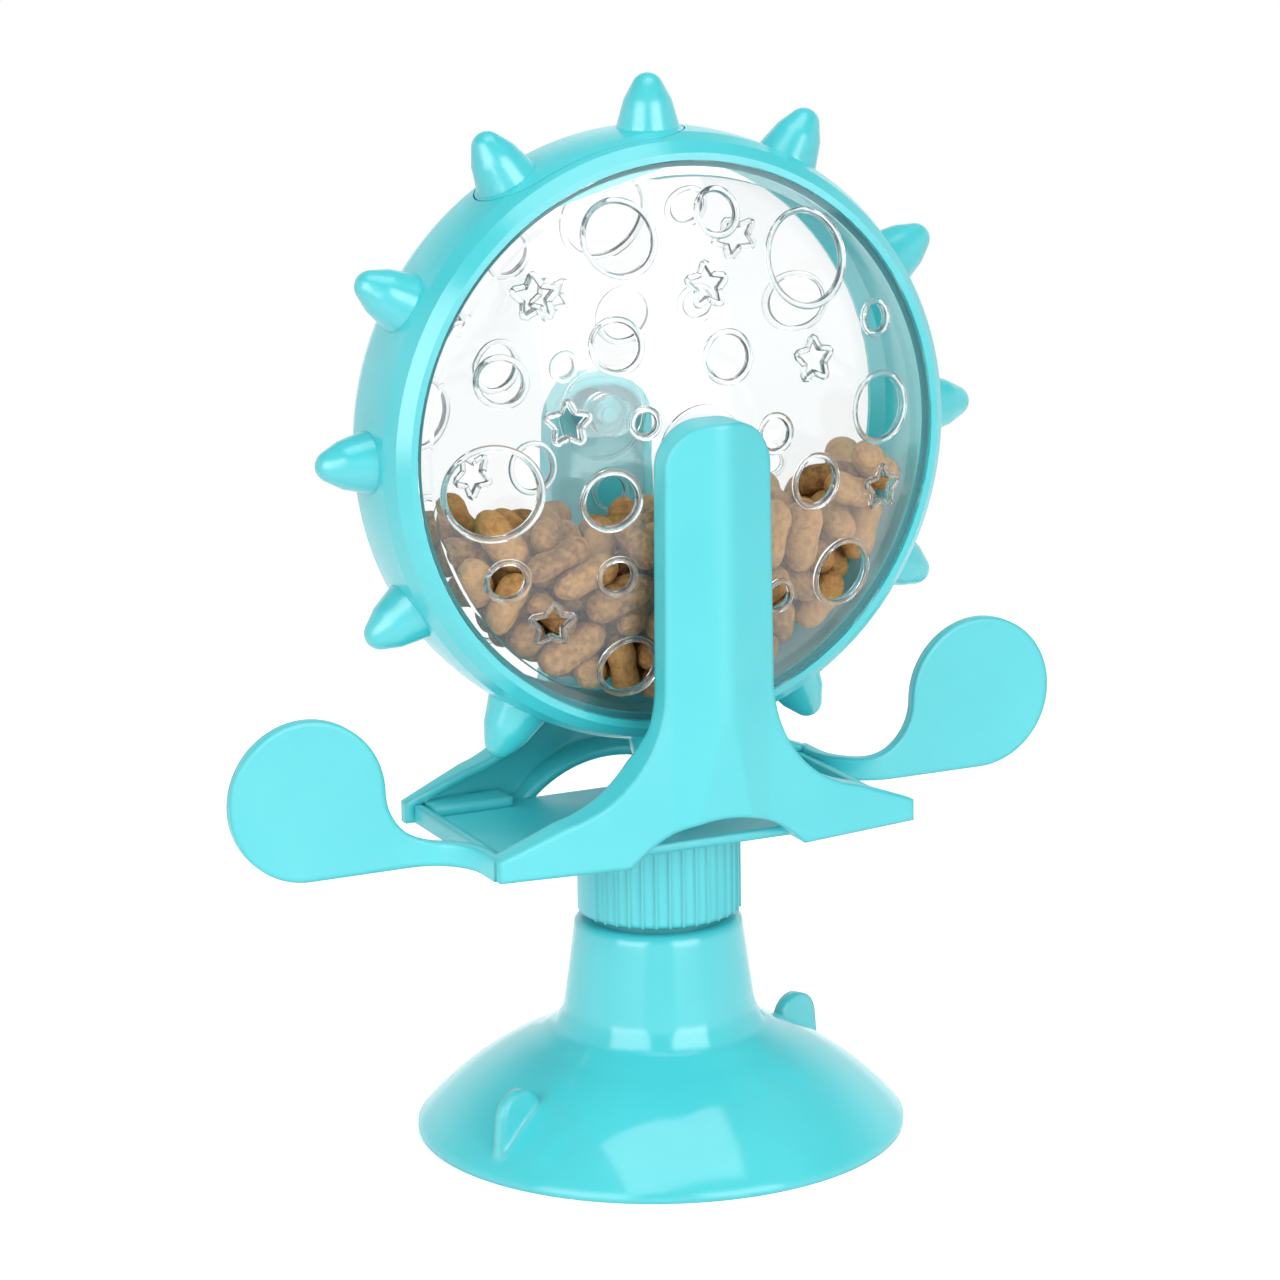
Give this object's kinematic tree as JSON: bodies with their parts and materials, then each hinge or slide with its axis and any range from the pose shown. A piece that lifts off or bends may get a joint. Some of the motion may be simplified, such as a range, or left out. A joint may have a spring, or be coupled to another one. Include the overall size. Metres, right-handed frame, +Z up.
{
  "type": "rotating treat toy",
  "caption": "Wheel-shaped treat dispenser with clear holed windows, turning between two arms on a swivelling tray above a suction cup.",
  "frame": {"origin": "centre of the suction face, on the surface that the cup stands on", "axes": "+Z up along the neck, Y along the drum's axle, front window towards -Y, X across the drum"},
  "size_m": [0.2166, 0.1148, 0.2478],
  "materials": {
    "cup_rubber": "glossy soft thermoplastic rubber",
    "frame_plastic": "satin moulded plastic",
    "rim_plastic": "glossy moulded plastic",
    "clear_plastic": "clear polished plastic",
    "core_plastic": "natural moulded plastic",
    "screw_steel": "zinc-plated steel",
    "treats": "dry baked kibble"
  },
  "bodies": {
    "base": {"suction_cup": "cup_rubber", "neck_core": "core_plastic", "ring_washer": "core_plastic", "swivel_washer": "screw_steel", "swivel_screw": "screw_steel"},
    "lock_ring": {"lock_ring": "frame_plastic"},
    "plunger": {"cup_plunger": "core_plastic", "lift_pin": "screw_steel"},
    "yoke": {"tray": "frame_plastic", "front_arm": "frame_plastic", "rear_arm": "frame_plastic", "arm_screws": "screw_steel", "treat_fill": "treats"},
    "drum": {"drum_rim": "rim_plastic", "front_window": "clear_plastic", "rear_window": "clear_plastic", "filling_lid": "rim_plastic"}
  },
  "joints": [
    {"name": "lock_turn", "type": "hinge", "parent": "base", "child": "lock_ring", "pos_m": [0, 0, 0.062], "axis": [0, 0, 1], "range_deg": [0, 120]},
    {"name": "plunger_lift", "type": "slide", "parent": "base", "child": "plunger", "axis": [0, 0, 1], "range_m": [0, 0.003]},
    {"name": "frame_swivel", "type": "hinge", "parent": "base", "child": "yoke", "pos_m": [0, 0, 0.0745], "axis": [0, 0, 1], "continuous": true},
    {"name": "drum_spin", "type": "hinge", "parent": "yoke", "child": "drum", "pos_m": [0, 0, 0.1655], "axis": [0, 1, 0], "continuous": true}
  ],
  "couplings": [
    {"joint": "plunger_lift", "follows": "lock_turn", "m_per_rad": 0.001432}
  ]
}
